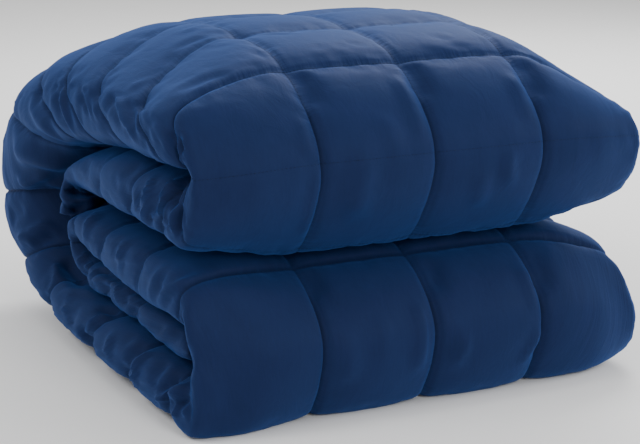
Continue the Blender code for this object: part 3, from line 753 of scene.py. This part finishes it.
def swell(blanket, surface):
    """Let the filling press the cloth out between its seams."""
    room = room_to_swell(blanket)
    rest = np.empty(len(blanket.data.vertices) * 3)
    blanket.data.vertices.foreach_get("co", rest)
    rest = rest.reshape(-1, 3)
    on_stitches = surface["rise"].reshape(-1) < HELD_RISE
    held = on_stitches | (room < HELD_ROOM) | (rest[:, 2] < HELD_ON_FLOOR)
    column = surface["column"]
    under_left_edge = (column > -SEAM_INSIDE) & (column < -SEAM_ON_EDGE)
    move = pressed_out(blanket, held, np.tile(under_left_edge, len(surface["square"]))) - rest
    length = np.linalg.norm(move, axis=1)
    move *= np.minimum(1, room / np.maximum(length, ROUNDING))[:, None]
    settled = rest + move
    settled[:, 2] = np.maximum(settled[:, 2], 0)
    blanket.data.vertices.foreach_set("co", settled.reshape(-1))
    blanket.data.update()


STITCHED_ROUND = 2.7      # how far round the strip the stitches of a row are laid, as a column number
STITCHED_COLUMNS = (-1, 0, 1)
THREAD_PROUD = 0.00005    # how far the middle of the thread lies above the seam, in metres
STITCH_SIZES = {"Pitch": 4.2, "Stitch length": 3.4, "Thread thickness": 0.45}
STITCH_SPREAD = (0.88, 1.08)  # smallest and largest stitch, as shares of the usual size
STITCH_SEED = 7


def seam_lines(blanket, surface):
    """The stitched lines as edges that lie on the finished cloth: rows over the outside, and columns."""
    mesh = blanket.data
    rings, count = surface["rise"].shape
    column = surface["column"]
    outside = np.flatnonzero(np.abs(column) <= STITCHED_ROUND)
    outside = outside[np.argsort(column[outside])]
    lines = []
    for number in range(1, len(STITCHED) - 1):
        ring = int(np.searchsorted(surface["square"], number - ROUNDING))
        lines.append(ring * count + outside)
    for seam in STITCHED_COLUMNS:
        lines.append(np.arange(rings) * count + int(np.argmin(np.abs(column - seam))))
    places, edges = [], []
    for line in lines:
        first = len(places)
        places += [mesh.vertices[int(k)].co + mesh.vertices[int(k)].normal * THREAD_PROUD for k in line]
        edges += [(first + k, first + k + 1) for k in range(len(line) - 1)]
    lines_mesh = bpy.data.meshes.new("seam_lines")
    lines_mesh.from_pydata(places, edges, [])
    return lines_mesh


def stitching_tree(material):
    """A node tree that lays even stitches along every line of a mesh."""
    tree = bpy.data.node_groups.new("stitching", "GeometryNodeTree")
    tree.interface.new_socket("Geometry", in_out="INPUT", socket_type="NodeSocketGeometry")
    for name in STITCH_SIZES:
        tree.interface.new_socket(name, in_out="INPUT", socket_type="NodeSocketFloat")
    tree.interface.new_socket("Geometry", in_out="OUTPUT", socket_type="NodeSocketGeometry")
    new = tree.nodes.new
    given = new("NodeGroupInput")
    made = new("NodeGroupOutput")
    curve = new("GeometryNodeMeshToCurve")
    spaced_out = new("GeometryNodeResampleCurve")
    spaced_out.mode = "LENGTH"
    tangent = new("GeometryNodeInputTangent")
    turned = new("FunctionNodeAlignRotationToVector")
    turned.axis = "X"
    bead = new("GeometryNodeMeshIcoSphere")
    bead.inputs["Radius"].default_value = 0.5
    bead.inputs["Subdivisions"].default_value = 1
    size = new("ShaderNodeCombineXYZ")
    uneven = new("FunctionNodeRandomValue")
    uneven.data_type = "FLOAT"
    uneven.inputs["Seed"].default_value = STITCH_SEED
    uneven.inputs[2].default_value, uneven.inputs[3].default_value = STITCH_SPREAD
    scaled = new("ShaderNodeVectorMath")
    scaled.operation = "SCALE"
    laid = new("GeometryNodeInstanceOnPoints")
    real = new("GeometryNodeRealizeInstances")
    coloured = new("GeometryNodeSetMaterial")
    coloured.inputs["Material"].default_value = material
    for start, output, end, given_to in (
            (given, "Geometry", curve, "Mesh"), (curve, "Curve", spaced_out, "Curve"),
            (given, "Pitch", spaced_out, "Length"), (spaced_out, "Curve", laid, "Points"),
            (tangent, "Tangent", turned, "Vector"), (turned, "Rotation", laid, "Rotation"),
            (bead, "Mesh", laid, "Instance"), (given, "Stitch length", size, "X"),
            (given, "Thread thickness", size, "Y"), (given, "Thread thickness", size, "Z"),
            (size, "Vector", scaled, 0), (uneven, 1, scaled, "Scale"),
            (scaled, "Vector", laid, "Scale"), (laid, "Instances", real, "Geometry"),
            (real, "Geometry", coloured, "Geometry"), (coloured, "Geometry", made, "Geometry")):
        tree.links.new(start.outputs[output], end.inputs[given_to])
    return tree


def stitch_seams(blanket, surface):
    """Small stitches along the seams, as a plain mesh."""
    guide = bpy.data.objects.new("seam_lines", seam_lines(blanket, surface))
    bpy.context.scene.collection.objects.link(guide)
    modifier = guide.modifiers.new("stitching", "NODES")
    modifier.node_group = stitching_tree(thread())
    for item in modifier.node_group.interface.items_tree:
        if item.name in STITCH_SIZES:
            modifier[item.identifier] = STITCH_SIZES[item.name] * MM
    evaluated = guide.evaluated_get(bpy.context.evaluated_depsgraph_get())
    mesh = bpy.data.meshes.new_from_object(evaluated)
    guide.modifiers.remove(modifier)
    bpy.data.objects.remove(guide)
    mesh.shade_smooth()
    stitches = bpy.data.objects.new("seam_stitches", mesh)
    bpy.context.scene.collection.objects.link(stitches)
    return stitches


NAVY = (0.0078, 0.0152, 0.052)
THREAD_NAVY = (0.003, 0.006, 0.02)
NAP_SHINE = (0.022, 0.074, 0.25)
CLOUD_TONE = 0.16         # depth of the broad tone variation
BRUSH_TONE = 0.14         # and of the brushed streaks
GRAIN_TONE = 0.10         # and of the pile
SEAM_PAINTED_SHADE = 0.30         # painted shade of the seam groove: how much darker the cloth's colour is made along a seam
SEAM_PAINTED_SHADE_REACH = 0.003  # how far that painted shade reaches from a seam, in metres
PUCKER_REACH = 0.014      # how far the small puckers reach from a seam, in metres
NAP_ROUGHNESS = (0.12, 0.55)   # what the brushing adds to the roughness of the nap, and its least value
PLY_ROUGHNESS = (0.2, 0.42)    # and the same for the twist of the thread


class Finish:
    """A material with the few node arrangements that the cloth and the thread are made of."""

    def __init__(self, name, colour, roughness):
        self.material = bpy.data.materials.new(name)
        self.material.use_nodes = True
        self.tree = self.material.node_tree
        self.shader = self.tree.nodes["Principled BSDF"]
        self.shader.inputs["Base Color"].default_value = (*colour, 1.0)
        self.shader.inputs["Roughness"].default_value = roughness

    def feed(self, socket, value):
        """Link a socket's value, or set it where it is a plain number or vector."""
        if isinstance(value, bpy.types.NodeSocket):
            self.tree.links.new(value, socket)
        else:
            socket.default_value = value

    def maths(self, operation, *values, clamp=False):
        node = self.tree.nodes.new("ShaderNodeMath")
        node.operation = operation
        node.use_clamp = clamp
        for socket, value in zip(node.inputs, values):
            self.feed(socket, value)
        return node.outputs[0]

    def noise(self, vector, scale, detail=2.0, roughness=0.5, distortion=0.0):
        """Soft noise around 0.5."""
        node = self.tree.nodes.new("ShaderNodeTexNoise")
        self.feed(node.inputs["Vector"], vector)
        for name, value in (("Scale", scale), ("Detail", detail), ("Roughness", roughness),
                            ("Distortion", distortion)):
            node.inputs[name].default_value = value
        return node.outputs["Fac"]

    def shine(self, specular, sheen):
        """A weak gloss, and a sheen where the cloth turns away."""
        for name, value in (("Specular IOR Level", specular), ("Sheen Weight", sheen),
                            ("Sheen Roughness", 0.5), ("Sheen Tint", (*NAP_SHINE, 1.0))):
            self.shader.inputs[name].default_value = value

    def stretched(self, vector, along, around):
        """A vector whose two directions on the strip are scaled differently."""
        node = self.tree.nodes.new("ShaderNodeVectorMath")
        node.operation = "MULTIPLY"
        self.feed(node.inputs[0], vector)
        node.inputs[1].default_value = (along, around, 1.0)
        return node.outputs["Vector"]

    def around_one(self, value, depth):
        """Turn noise around 0.5 into a factor around 1."""
        return self.maths("MULTIPLY_ADD", self.maths("SUBTRACT", value, 0.5), depth * 2, 1.0)

    def bump(self, height, distance, strength=1.0, over=None):
        node = self.tree.nodes.new("ShaderNodeBump")
        node.inputs["Strength"].default_value = strength
        node.inputs["Distance"].default_value = distance
        self.feed(node.inputs["Height"], height)
        if over is not None:
            self.feed(node.inputs["Normal"], over)
        return node.outputs["Normal"]

    def attribute(self, name):
        node = self.tree.nodes.new("ShaderNodeAttribute")
        node.attribute_name = name
        return node.outputs["Vector"]


def near_seam(finish, distance, reach):
    """One at a line of stitches, falling to nothing over its reach."""
    return finish.maths("SUBTRACT", 1.0, finish.maths("DIVIDE", distance, reach, clamp=True))


def microfibre():
    """Navy microfibre, brushed to a short nap that shines at its edges, puckered along the stitches, with
    painted seam shade.
    """
    finish = Finish("navy_microfibre", NAVY, roughness=0.6)
    strip, seams = finish.attribute("strip"), finish.attribute("seams")
    apart = finish.tree.nodes.new("ShaderNodeSeparateXYZ")
    finish.feed(apart.inputs[0], seams)
    to_row, to_column = apart.outputs["X"], apart.outputs["Y"]
    nearest = finish.maths("MINIMUM", to_row, to_column)
    cloud = finish.noise(strip, scale=16, detail=3, roughness=0.55, distortion=0.4)
    streaks = finish.stretched(strip, along=70, around=420)
    brushed = finish.noise(streaks, scale=1, detail=3, roughness=0.6)
    grain = finish.noise(strip, scale=1400, detail=2, roughness=0.6)
    cloud_tone = finish.around_one(cloud, CLOUD_TONE)
    tone = finish.maths("MULTIPLY", cloud_tone, finish.around_one(brushed, BRUSH_TONE))
    tone = finish.maths("MULTIPLY", tone, finish.around_one(grain, GRAIN_TONE))
    # painted shade: the base colour is darkened along the seams, where the grooves fall into shade
    painted_seam_shade = finish.maths("MULTIPLY_ADD", near_seam(finish, nearest, SEAM_PAINTED_SHADE_REACH), -SEAM_PAINTED_SHADE, 1.0)
    tone = finish.maths("MULTIPLY", tone, painted_seam_shade)
    colour = finish.tree.nodes.new("ShaderNodeVectorMath")
    colour.operation = "SCALE"
    colour.inputs[0].default_value = NAVY
    finish.feed(colour.inputs["Scale"], tone)
    finish.feed(finish.shader.inputs["Base Color"], colour.outputs["Vector"])
    finish.feed(finish.shader.inputs["Roughness"], finish.maths("MULTIPLY_ADD", brushed, *NAP_ROUGHNESS))
    finish.shine(specular=0.04, sheen=1.0)
    along_row = finish.stretched(strip, along=12, around=150)
    along_column = finish.stretched(strip, along=150, around=12)
    row_noise = finish.noise(along_row, scale=1, detail=2)
    column_noise = finish.noise(along_column, scale=1, detail=2)
    row_puckers = finish.maths("MULTIPLY", row_noise, near_seam(finish, to_row, PUCKER_REACH))
    column_puckers = finish.maths("MULTIPLY", column_noise, near_seam(finish, to_column, PUCKER_REACH))
    puckers = finish.maths("ADD", row_puckers, column_puckers)
    creased = finish.stretched(strip, along=30, around=44)
    creases = finish.noise(creased, scale=1, detail=4, roughness=0.62, distortion=0.8)
    normal = finish.bump(creases, distance=0.0012, strength=0.5)
    normal = finish.bump(puckers, distance=0.0014, strength=0.8, over=normal)
    normal = finish.bump(brushed, distance=0.0001, strength=0.4, over=normal)
    normal = finish.bump(grain, distance=0.0001, strength=0.5, over=normal)
    finish.feed(finish.shader.inputs["Normal"], normal)
    return finish.material


def thread():
    """Navy sewing thread, twisted, a little glossier than the cloth."""
    finish = Finish("navy_thread", THREAD_NAVY, roughness=0.5)
    place = finish.tree.nodes.new("ShaderNodeTexCoord").outputs["Object"]
    ply = finish.noise(place, scale=3200, detail=1)
    finish.feed(finish.shader.inputs["Roughness"], finish.maths("MULTIPLY_ADD", ply, *PLY_ROUGHNESS))
    finish.feed(finish.shader.inputs["Normal"], finish.bump(ply, distance=0.0001, strength=0.6))
    finish.shine(specular=0.1, sheen=0.4)
    return finish.material


# Place, size and power of each light, in metres and watts.
LIGHTS = {
    "front_high": ((0.0, -2.5, 1.3), 1.0, 25),
    "left_high": ((-2.0, -0.2, 2.0), 1.0, 22),
    "right_high": ((2.2, -1.0, 1.3), 1.0, 24),
    "back_right": ((1.5, 1.5, 1.7), 1.3, 44),
    "back": ((0.0, 1.9, 1.7), 1.6, 7),
}
LIGHTS_AIM = (0, 0, 0.12)
ROOM_LIGHT = 0.8
FLOOR_CORNERS = ((-6, -6, 0), (6, -6, 0), (6, 9, 0), (-6, 9, 0))
FLOOR_GREY = 0.9
FLOOR_ROUGHNESS = 0.9
LENS, SENSOR = 101.25, 36          # in millimetres
CAMERA_TURN, CAMERA_DOWN = 26, 14  # in degrees
CAMERA_AIM = (0.0104, -0.0324, 0.1359)
CAMERA_DISTANCE = 2.059


def floor_stage():
    """A plain pale floor."""
    mesh = bpy.data.meshes.new("floor")
    mesh.from_pydata(FLOOR_CORNERS, [], [(0, 1, 2, 3)])
    floor = bpy.data.objects.new("floor", mesh)
    bpy.context.scene.collection.objects.link(floor)
    material = bpy.data.materials.new("pale_floor")
    material.use_nodes = True
    shader = material.node_tree.nodes["Principled BSDF"]
    shader.inputs["Base Color"].default_value = (FLOOR_GREY, FLOOR_GREY, FLOOR_GREY, 1.0)
    shader.inputs["Roughness"].default_value = FLOOR_ROUGHNESS
    mesh.materials.append(material)


def soft_light(name, place, size, power):
    """A round soft light aimed at the blanket."""
    light = bpy.data.lights.new(name, "AREA")
    light.shape = "DISK"
    light.size = size
    light.energy = power
    lamp = bpy.data.objects.new(name, light)
    lamp.location = place
    lamp.rotation_euler = (Vector(LIGHTS_AIM) - Vector(place)).to_track_quat("-Z", "Y").to_euler()
    bpy.context.scene.collection.objects.link(lamp)


def studio():
    """A white room with soft lights above the front, behind and at both sides."""
    world = bpy.data.worlds.new("studio")
    bpy.context.scene.world = world
    world.use_nodes = True
    background = world.node_tree.nodes["Background"]
    background.inputs["Color"].default_value = (1, 1, 1, 1)
    background.inputs["Strength"].default_value = ROOM_LIGHT
    for name, (place, size, power) in LIGHTS.items():
        soft_light(name, place, size, power)


def photo_camera():
    """The camera at the photo's viewing angle."""
    camera = bpy.data.cameras.new("camera")
    camera.lens = LENS
    camera.sensor_width = SENSOR
    turn, down = math.radians(CAMERA_TURN), math.radians(CAMERA_DOWN)
    forward = Vector((math.sin(turn) * math.cos(down), math.cos(turn) * math.cos(down), -math.sin(down)))
    view = bpy.data.objects.new("camera", camera)
    view.location = Vector(CAMERA_AIM) - forward * CAMERA_DISTANCE
    view.rotation_euler = forward.to_track_quat("-Z", "Y").to_euler()
    bpy.context.scene.collection.objects.link(view)
    bpy.context.scene.camera = view


photo_camera()
studio()
floor_stage()
surface = strip_surface()
blanket = grid_mesh("quilted_blanket", surface)
swell(blanket, surface)
name_places(blanket, surface)
blanket.data.materials.append(microfibre())
stitches = stitch_seams(blanket, surface)
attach(blanket, "root")
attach(stitches, "root")
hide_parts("blanket")
